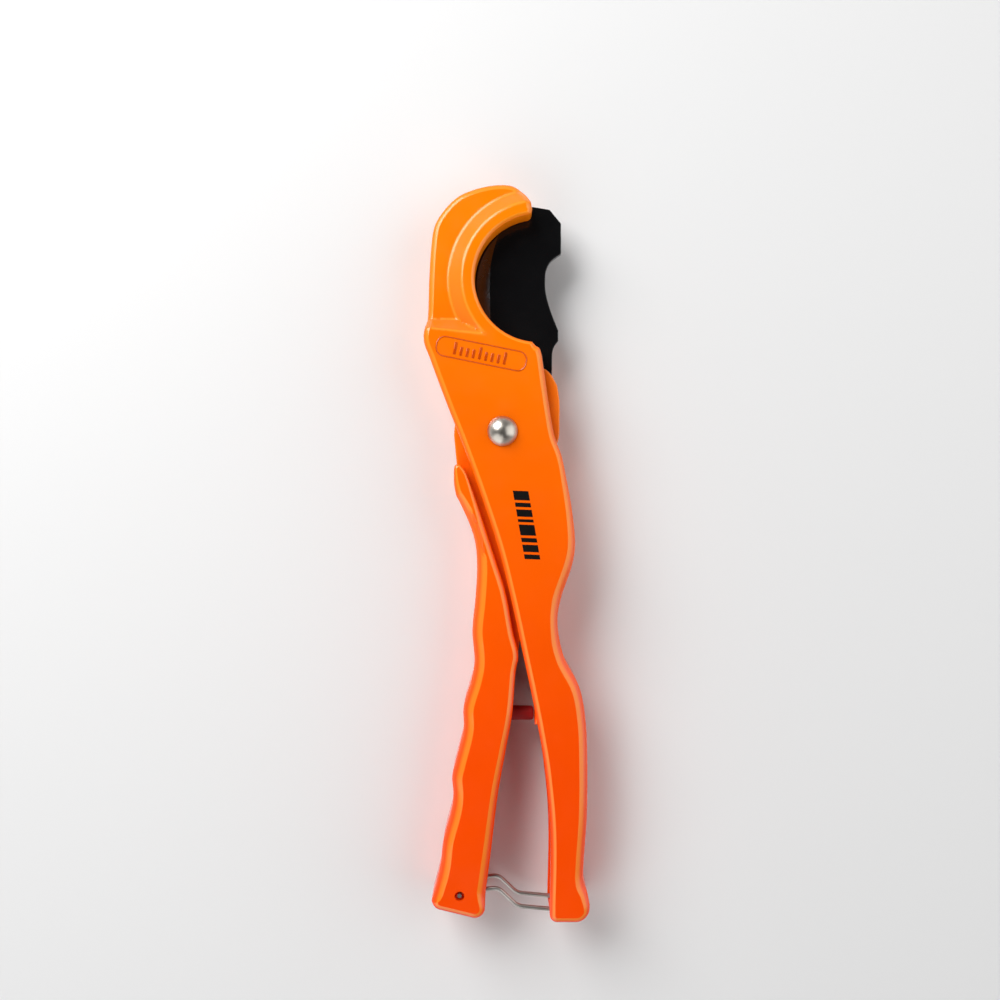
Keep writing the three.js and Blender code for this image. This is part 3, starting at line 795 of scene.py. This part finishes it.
zinc_wire = material(
    "zinc_wire",
    METAL,
    {
        "Tone": (0.5, 0.48, 0.45, 1),
        "Dull Tone": (0.33, 0.31, 0.28, 1),
        "Grain": 700.0,
        "Depth": 0.2,
        "Sheen Low": 0.28,
        "Sheen High": 0.45,
    },
    {"Metallic": 1.0},
)
red_rubber = material(
    "red_rubber",
    METAL,
    {
        "Tone": (0.36, 0.006, 0.005, 1),
        "Dull Tone": (0.25, 0.006, 0.006, 1),
        "Grain": 1500.0,
        "Depth": 0.3,
        "Sheen Low": 0.5,
        "Sheen High": 0.65,
    },
    {"IOR": 1.45},
)
black_print = material(
    "black_print",
    METAL,
    {
        "Tone": (0.006, 0.006, 0.006, 1),
        "Dull Tone": (0.012, 0.01, 0.009, 1),
        "Grain": 1200.0,
        "Depth": 0.1,
        "Sheen Low": 0.3,
        "Sheen High": 0.4,
    },
    {"IOR": 1.12},
)


def finished(piece, finish, body, stands_for=(), angle=32):
    """Gives a piece its finish, its shading and the body that it moves with."""
    choose(piece)
    piece.data.materials.clear()
    piece.data.materials.append(finish)
    bpy.ops.object.shade_smooth_by_angle(angle=math.radians(angle))
    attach(piece, body)
    if stands_for:
        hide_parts(*stands_for)
    return piece


# ---------------------------------------------------------------- the fixed casting


def casting_height(x, y):
    """The front face: the hook's web lies below the rim round the seat and below the body's shelf."""
    rim = (np.hypot(x - JAW_X, y - JAW_Y) - JAW_RADIUS - RIM_TOP) / RIM_SLOPE
    shelf_low = 27.05 - 0.12 * (x + 7.6)
    shelf = (y - shelf_low) / (31.4 - shelf_low)
    return BODY_HALF - WEB_DROP * soft_step(np.minimum(rim, shelf))


def casting_edge(x, y):
    """The palm's side of the handle falls away more broadly than the rest."""
    grip = np.clip((-y - 10) / 30, 0, 1) * np.clip((x - 14) / 2, 0, 1)
    seat = np.clip(JAW_RADIUS + 1 - np.hypot(x - JAW_X, y - JAW_Y), 0, 1)
    return 1.5 - 0.6 * seat + 0.9 * grip * np.clip((y + HANDLE_LENGTH - 2) / 8, 0, 1)


def cavity():
    """The space between the cheeks."""
    eye_room = disc("eye_room", 0, 0, LUG_RADIUS + 1.3, -CAVITY_HALF, CAVITY_HALF)
    sector = closed([(0, 0)], arc(0, 0, LUG_RADIUS + 5.6, -24, 75))
    carrier_room = straight("carrier_room", sector, -CAVITY_HALF + 0.01, CAVITY_HALF - 0.01)
    wall = [(x - SPINE, y) for x, y in PALM_EDGE if y < -10]
    channel = closed(
        [(-40, -HANDLE_LENGTH + CASTING_END_WALL), (wall[0][0], -HANDLE_LENGTH + CASTING_END_WALL)],
        smooth(wall),
        [(wall[-1][0] - 0.6, -10), (8, 0), (-40, 0)],
    )
    channel_room = straight("channel_room", channel, -CAVITY_HALF + 0.02, CAVITY_HALF - 0.02)
    slot_reach = BLADE_REACH + 0.8
    left = EDGE_X - 1.6
    slot = closed(
        [(left, 8)],
        smooth([(left, 24), (left, JAW_Y + 4), (left + 2.2, JAW_Y + 14), polar(94, slot_reach)]),
        arc(0, 0, slot_reach, 94, 66),
        [(slot_reach / 2, 8)],
    )
    blade_room = straight("blade_room", slot, -BLADE_HALF - RUNNING_GAP, BLADE_HALF + RUNNING_GAP)
    bore = disc("bore", 0, 0, RIVET_HOLE, -THROUGH, THROUGH)
    recess = disc("recess", 0, 0, 4.7, -BODY_HALF - 1, -BODY_HALF + 2)
    return combine(eye_room, [carrier_room, channel_room, blade_room, bore, recess], "UNION")


def channel_parts():
    """The ribs, the block that the buffer lands on, and the bail's tooth."""
    high = CAVITY_HALF + 0.5
    parts = []
    for share in (0.49, 0.62, 0.735):
        y = -share * HANDLE_LENGTH
        x = edge_at(PALM_EDGE, y) - SPINE
        parts.append(box("rib", (x - 4, y - RIB_HALF, -high), (x + 0.8, y + RIB_HALF, high)))
    face = edge_at(INNER_EDGE, BUFFER_Y) - LANDING_RISE
    root = edge_at(PALM_EDGE, BUFFER_Y) - SPINE + 0.8
    foot, head = BUFFER_Y - 2.2, BUFFER_Y + 3.2
    block = [(face, foot), (root, foot), (root, head), (face, head)]
    parts.append(eased("landing", block, -high, high, 0.6))
    face_x = BAR[0] - BAIL_WIRE / 2 - RUNNING_GAP
    tooth_low = (face_x - 1.7, -HANDLE_LENGTH + CASTING_END_WALL - 0.5, -3.1)
    parts.append(box("tooth", tooth_low, (face_x, BAR[1] + 1.4, 3.1)))
    return parts


def make_casting():
    piece = relief("casting", casting_line(), casting_height, casting_edge)
    combine(piece, [cavity()], "DIFFERENCE")
    combine(piece, channel_parts(), "UNION")
    finished(piece, orange_enamel, "frame", ["fixed_casting"])


# ---------------------------------------------------------------- the moving handle


def grip_height(x, y):
    return np.full(np.shape(x), MOVING_HALF)


def grip_edge(x, y):
    """The fingers' side falls away the most broadly, and the shoulder by the casting the least."""
    above_end = np.clip((y - MOVING_END - 3) / 8, 0, 1)
    outer = np.interp(x - np.interp(-y, *FINGER_RUN), (1, 3), (1, 0)) * above_end
    inner = np.interp(-y, (70, 128), (1.5, 2.5))
    end = np.clip((y - MOVING_END - 2) / 4, 0, 1)
    return (1.5 + (inner - 1.5) * end + (2.9 - inner) * outer) * np.clip((-y - 4) / 22, 0.3, 1)


FINGER_RUN = ([-p[1] for p in FINGER_EDGE], [p[0] for p in FINGER_EDGE])


def grip_channel(y_low, y_high, half, name):
    """The hollow of the moving handle between two heights, open on the inner side."""
    wall = [(x + SPINE, y) for x, y in FINGER_EDGE if y_low < y < y_high]
    line = closed(
        [(edge_at(FINGER_EDGE, y_high) + SPINE, y_high)],
        smooth(wall) if len(wall) > 1 else wall,
        [(edge_at(FINGER_EDGE, y_low) + SPINE, y_low), (30, y_low), (30, y_high)],
    )
    return straight(name, line, -half, half)


def pin_holes():
    return [disc("pin_hole", *polar(*at), PIN_HOLE, -THROUGH, THROUGH) for at in BLADE_PINS]


def make_moving_handle():
    piece = relief("grip", grip_line(), grip_height, grip_edge)
    crotch = -0.45 * HANDLE_LENGTH
    combine(piece, [eased("eye", eye_line(), -LUG_HALF, LUG_HALF, 0.35)], "UNION")
    lower = grip_channel(MOVING_END + END_WALL, crotch, MOVING_HALF - GRIP_WALL, "lower_channel")
    upper = grip_channel(crotch - 1, -0.19 * HANDLE_LENGTH, LUG_HALF - 2.2, "upper_channel")
    combine(piece, [lower, upper], "DIFFERENCE")
    boss_left = edge_at(FINGER_EDGE, BUFFER_Y) + SPINE - 0.8
    boss_right = edge_at(WEDGE_EDGE, BUFFER_Y) - 0.6
    half = MOVING_HALF - 2
    parts = [box("boss", (boss_left, BUFFER_Y - 3, -half), (boss_right, BUFFER_Y + 3, half))]
    for share in (0.51, 0.66, 0.74):
        y = -share * HANDLE_LENGTH
        x = edge_at(FINGER_EDGE, y) + SPINE
        parts.append(box("rib", (x - 0.8, y - RIB_HALF, -half), (x + 2.6, y + RIB_HALF, half)))
    combine(piece, parts, "UNION")
    bed_line = closed(
        arc(0, 0, 9.75, 180, 360),
        [(30, 0), (30, 40), (EDGE_X - GAP, 40), (EDGE_X - GAP, 6)],
    )
    bed = straight("blade_bed", bed_line, -BLADE_HALF - GAP, BLADE_HALF + GAP)
    pocket = disc("spring_pocket", 0, 0, 11, -THROUGH, -BLADE_HALF - GAP + 0.01)
    notch = box("spring_notch", (-13.6, -5.4, -6), (-8, -3.8, -BLADE_HALF))
    bore = disc("eye_bore", 0, 0, EYE_BORE, -THROUGH, THROUGH)
    combine(bed, [pocket, notch, bore], "UNION")
    bail_hole = disc("bail_hole", *BAIL_PIN, BAIL_HOLE, -THROUGH, THROUGH)
    combine(piece, [bed, bail_hole, *pin_holes()], "DIFFERENCE")
    finished(piece, orange_enamel, "lever", ["moving_handle"])


# ---------------------------------------------------------------- the blade

def blade_line():
    """The blade's outline, and how far its edge is ground back at each point."""
    back_x = 16.6
    hollow = smooth(
        [
            (15.8, JAW_Y - 13.4),
            (13.8, JAW_Y - 8.3),
            (12.4, JAW_Y - 3.4),
            (12.1, JAW_Y + 0.2),
            (12.4, JAW_Y + 3.7),
            (13.8, JAW_Y + 6.3),
            (back_x, JAW_Y + 8.4),
        ]
    )
    edge = smooth(
        [
            polar(93.2, BLADE_REACH),
            (EDGE_X + 1.9, JAW_Y + 13.6),
            (EDGE_X - 0.1, JAW_Y + 4),
            (EDGE_X - 0.1, JAW_Y - 9),
            (EDGE_X + 0.2, SEAT_HEIGHT - 3.5),
        ]
    )
    heel = smooth([(9.5, 0), (11.2, 8), (13.8, 15), (14.2, SEAT_HEIGHT - 1.6), (15.8, JAW_Y - 16.3)])
    line = closed(
        arc(0, 0, 9.5, 180, 360),
        heel,
        hollow,
        [(back_x, BLADE_REACH - 5.3)],
        arc(0, 0, BLADE_REACH, 78, 93.2),
        edge,
        smooth([edge[-1], (EDGE_X + 1.2, 12), (-9.5, 0)]),
    )
    on_edge = nearest_of(edge, line) < 0.01
    ends = nearest_of([edge[0], edge[-1]], line)
    ground = np.where(on_edge, GRIND_WIDTH * np.clip(ends / 5, 0, 1), 0)
    return line, np.maximum(ground, BROKEN_EDGE)


def nearest_of(path, line):
    """How far each point of the line lies from the nearest of the path's points."""
    return np.min([np.linalg.norm(np.array(line) - np.array(p), axis=1) for p in path], axis=0)


def make_blade():
    """The blade with its ground edge, and the two pins that hold it in the eye."""
    line, ground = blade_line()
    thin = np.where(ground > BROKEN_EDGE + 0.12, 0.12, BLADE_HALF - BROKEN_EDGE)
    levels = [(ground, -BLADE_HALF), (0, -thin), (0, thin), (ground, BLADE_HALF)]
    piece = ground_plate("blade_steel", line, levels)
    combine(piece, [disc("bore", 0, 0, EYE_BORE, -THROUGH, THROUGH), *pin_holes()], "DIFFERENCE")
    finished(piece, black_coating, "lever", ["blade"], 8)
    for i, at in enumerate(BLADE_PINS, 1):
        high, chamfer = LUG_HALF - 0.1, 0.2
        upper = [(PIN_RADIUS, high - chamfer), (PIN_RADIUS - chamfer, high), (0, high)]
        profile = [(r, -z) for r, z in reversed(upper)] + upper
        pin = turned(f"pin_{i}", profile, *polar(*at), 40)
        finished(pin, nickel_plate, "lever", [f"blade_pin_{i}"])


def ground_plate(name, line, levels):
    """A plate whose heights differ from point to point along its outline."""
    count = len(line)
    verts, skin = [], []
    for depth, height in levels:
        where = drawn_in(line, depth)
        tall = np.broadcast_to(height, count)
        verts += [placed(x, y, z) for (x, y), z in zip(where, tall)]
    for level in range(len(levels) - 1):
        for i in range(count):
            j = (i + 1) % count
            low, high = level * count, (level + 1) * count
            skin.append((low + i, low + j, high + j, high + i))
    skin.append(tuple(reversed(range(count))))
    skin.append(tuple(range((len(levels) - 1) * count, len(levels) * count)))
    return skinned(name, verts, skin)


# ---------------------------------------------------------------- the pivot


def make_rivet():
    """A domed head over the front cheek and a peened tail on its washer in the rear recess."""
    seat, tail = BODY_HALF + GAP, -BODY_HALF + GAP
    ball = (RIVET_HEAD_RADIUS**2 + RIVET_HEAD_HEIGHT**2) / (2 * RIVET_HEAD_HEIGHT)
    lean = math.asin(RIVET_HEAD_RADIUS / ball)
    peened = [(0, 0), (3.3, 0), (3.75, 0.12), (3.9, 0.4), (3.7, 0.7), (RIVET_SHANK, 0.7)]
    profile = [(radius, tail + rise) for radius, rise in peened]
    profile += [(RIVET_SHANK, seat), (RIVET_HEAD_RADIUS - 0.25, seat), (RIVET_HEAD_RADIUS - 0.05, seat + 0.08)]
    for i in range(1, 15):
        a = lean * (1 - i / 14)
        profile.append((ball * math.sin(a), seat + RIVET_HEAD_HEIGHT - ball * (1 - math.cos(a))))
    profile[-1] = (0, profile[-1][1])
    finished(turned("rivet", profile), nickel_plate, "frame", ["pivot_rivet"])
    low, high = tail + 0.8, -BODY_HALF + 1.75
    ring = [(RIVET_HOLE, low), (4.3, low), (4.4, low + 0.1), (4.4, high - 0.1), (4.3, high), (RIVET_HOLE, high)]
    washer = turned("tail_washer", ring)
    finished(washer, nickel_plate, "frame", ["rivet_tail_washer"])


def make_spring():
    """A close coil, with one leg in the moving handle's notch and the other in the rear cheek."""
    coil = EYE_BORE + 0.9 + 0.5 + SPRING_WIRE / 2
    high = -BLADE_HALF - 0.3 - SPRING_WIRE / 2
    low = -CAVITY_HALF + 0.3 + SPRING_WIRE / 2
    hole = polar(SPRING_START + 360 * SPRING_TURNS + 28, EYE_BORE + 2.6)
    knots = [(-12.6, -4.6, high), (-10, -4.6, high)]
    for i in range(26):
        share = i / 25
        knots.append((*polar(SPRING_START + 360 * SPRING_TURNS * share, coil), high + (low - high) * share))
    knots += [(*hole, low - 0.5), (*hole, low - 1.9)]
    piece = wire("opening_coil", smooth(knots, 0.35), SPRING_WIRE)
    finished(piece, zinc_wire, "frame", ["opening_spring"])


# ---------------------------------------------------------------- the bail and the buffer


def bent(corners, bend):
    """A path of straight runs with round bends."""
    path = [corners[0]]
    for before, corner, after in zip(corners, corners[1:], corners[2:]):
        corner = Vector(corner)
        back = (Vector(before) - corner).normalized() * bend
        on = (Vector(after) - corner).normalized() * bend
        for i in range(9):
            t = i / 8
            path.append(tuple(corner + back * (1 - t) ** 2 + on * t**2))
    return path + [corners[-1]]


def make_bail():
    """Two cranked legs inside the handles, a bar across them, and two ends bent out into the pin's hole."""
    leg = MOVING_HALF - GRIP_WALL - BAIL_WIRE / 2 - GAP
    side = [BAIL_PIN, (-1.2, BAIL_PIN[1] + 1.1), (4.2, BAR[1] + 1.15), BAR]
    out = MOVING_HALF - 0.4
    corners = [(*BAIL_PIN, out), *[(x, y, leg) for x, y in side]]
    corners += [(x, y, -leg) for x, y in reversed(side)] + [(*BAIL_PIN, -out)]
    piece = wire("bail_wire", bent(corners, 1.6), BAIL_WIRE, 5)
    finished(piece, zinc_wire, "bail", ["lock_bail"], 50)


def make_buffer():
    """A turned plug, made upright and then laid along x."""
    seat = edge_at(WEDGE_EDGE, BUFFER_Y) - 0.6
    nose = edge_at(INNER_EDGE, BUFFER_Y) - LANDING_RISE - GAP
    radius, neck = 2.0, 1.6
    profile = [(0, seat - 5), (neck, seat - 5), (neck, seat + GAP), (radius, seat + GAP)]
    profile += [(radius, nose - 0.6), (radius - 0.18, nose - 0.18), (radius - 0.6, nose), (0, nose)]
    piece = turned("buffer_plug", profile, 0, 0, 48)
    for v in piece.data.vertices:
        x, y, z = (v.co - PIVOT) / MM
        v.co = placed(z, BUFFER_Y + y, -x)
    finished(piece, red_rubber, "lever", ["closing_buffer"])


# ---------------------------------------------------------------- marks on the casting


def make_marks():
    """A raised frame with raised bars in it."""
    lean = math.radians(-11.5)
    along, across = (math.cos(lean), math.sin(lean)), (-math.sin(lean), math.cos(lean))
    start = (-18.2, 23.9)

    def on_body(u, v):
        return start[0] + along[0] * u + across[0] * v, start[1] + along[1] * u + across[1] * v

    width, high, corner = 25.2, 2.7, 2.3
    right, up = width - corner, high - corner
    rim = []
    for u, v, turn in ((right, -up, 270), (right, up, 0), (corner, up, 90), (corner, -up, 180)):
        bend = [polar(turn + i * 10, corner) for i in range(10)]
        rim += [(*on_body(u + a, v + b), BODY_HALF + 0.02) for a, b in bend]
    # the frame and ticks take the darker enamel copy: painted shade along their thin raised lines
    finished(wire("size_frame", rim + rim[:2], 0.34, 2), painted_shade_enamel, "frame")
    for i, tall in enumerate((1.7, 0.7, 0.7, 0.7, 1.7, 0.7, 0.7, 0.7, 1.7)):
        u = 4.9 + i * 1.75
        corners = [(u, -1.7), (u + 0.7, -1.7), (u + 0.7, tall), (u, tall)]
        line = closed([on_body(*c) for c in corners])
        tick = eased(f"size_tick_{i + 1}", line, BODY_HALF - 0.2, BODY_HALF + 0.2, 0.14)
        finished(tick, painted_shade_enamel, "frame")


def make_print():
    """Black slanted bars of several widths, printed down the fixed handle."""
    top, foot = (4.9, -16.1), (8.5, -36.6)
    run = Vector((foot[0] - top[0], foot[1] - top[1])).normalized()
    side = Vector((-run.y, run.x))
    at, half, slant, space = 0.0, 2.1, 0.9, 0.72
    for i, width in enumerate((2.6, 1.2, 2.0, 0.8, 3.0, 1.2, 2.0, 1.3)):
        corners = [(at, -half), (at + width, -half), (at + width + slant, half), (at + slant, half)]
        places = [Vector(top) + run * u + side * v for u, v in corners]
        line = closed([(p.x, p.y) for p in places])
        bar = straight(f"printed_bar_{i + 1}", line, BODY_HALF - 0.1, BODY_HALF + 0.03)
        finished(bar, black_print, "frame")
        at += width + space


# ---------------------------------------------------------------- room, light and camera


def make_room():
    """A pale floor, a world that is bright near the horizon and dark overhead, and three soft panels."""
    bpy.ops.object.select_all(action="DESELECT")
    bpy.ops.mesh.primitive_plane_add(size=6, location=(0, 0, -0.0004))
    floor = bpy.context.object
    floor.name = "floor"
    pale = bpy.data.materials.new("pale_floor")
    pale.use_nodes = True
    shader = pale.node_tree.nodes["Principled BSDF"]
    shader.inputs["Base Color"].default_value = (0.8, 0.8, 0.8, 1)
    shader.inputs["Roughness"].default_value = 0.7
    floor.data.materials.append(pale)
    world = bpy.context.scene.world or bpy.data.worlds.new("room")
    bpy.context.scene.world = world
    world.use_nodes = True
    tree = world.node_tree
    upward = node(tree, "ShaderNodeTexCoord").outputs["Generated"]
    height = node(tree, "ShaderNodeSeparateXYZ", None, {0: upward}).outputs["Z"]
    glow = spread(tree, height, 0.0, 0.7, 0.62, 0.02)
    tree.links.new(glow, tree.nodes["Background"].inputs["Strength"])
    tree.nodes["Background"].inputs["Color"].default_value = (1, 1, 1, 1)
    for name, where, size, power in (
        ("key_panel", (-0.42, 0.5, 0.5), 0.55, 7.2),
        ("fill_panel", (0.75, 0.1, 0.55), 1.0, 4.4),
        ("low_panel", (-0.45, -0.7, 0.5), 1.0, 3.8),
    ):
        lamp = bpy.data.lights.new(name, "AREA")
        lamp.size = size
        lamp.energy = power
        panel = bpy.data.objects.new(name, lamp)
        bpy.context.collection.objects.link(panel)
        panel.location = where
        panel.rotation_mode = "QUATERNION"
        panel.rotation_quaternion = (-Vector(where)).to_track_quat("-Z", "Y")


def make_camera():
    """Straight down on the front face, from a little way below the pivot."""
    lens = bpy.data.cameras.new("camera")
    lens.sensor_width = 36
    lens.lens = 37.83
    lens.clip_start = 0.01
    camera = bpy.data.objects.new("camera", lens)
    bpy.context.collection.objects.link(camera)
    camera.location = placed(-0.69, -19.04, BODY_HALF + 290)
    bpy.context.scene.camera = camera


def dress_hidden_nodes():
    """The sleeve, the thrust washer and the spring's spool keep their own meshes."""
    for name in ("pivot_sleeve", "thrust_washer", "spring_spool"):
        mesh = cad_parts[name].data
        mesh.materials.clear()
        mesh.materials.append(nickel_plate)


make_camera()
bpy.context.scene.view_settings.view_transform = "Standard"
make_room()
make_casting()
make_moving_handle()
make_blade()
make_rivet()
make_spring()
make_bail()
make_buffer()
make_marks()
make_print()
dress_hidden_nodes()
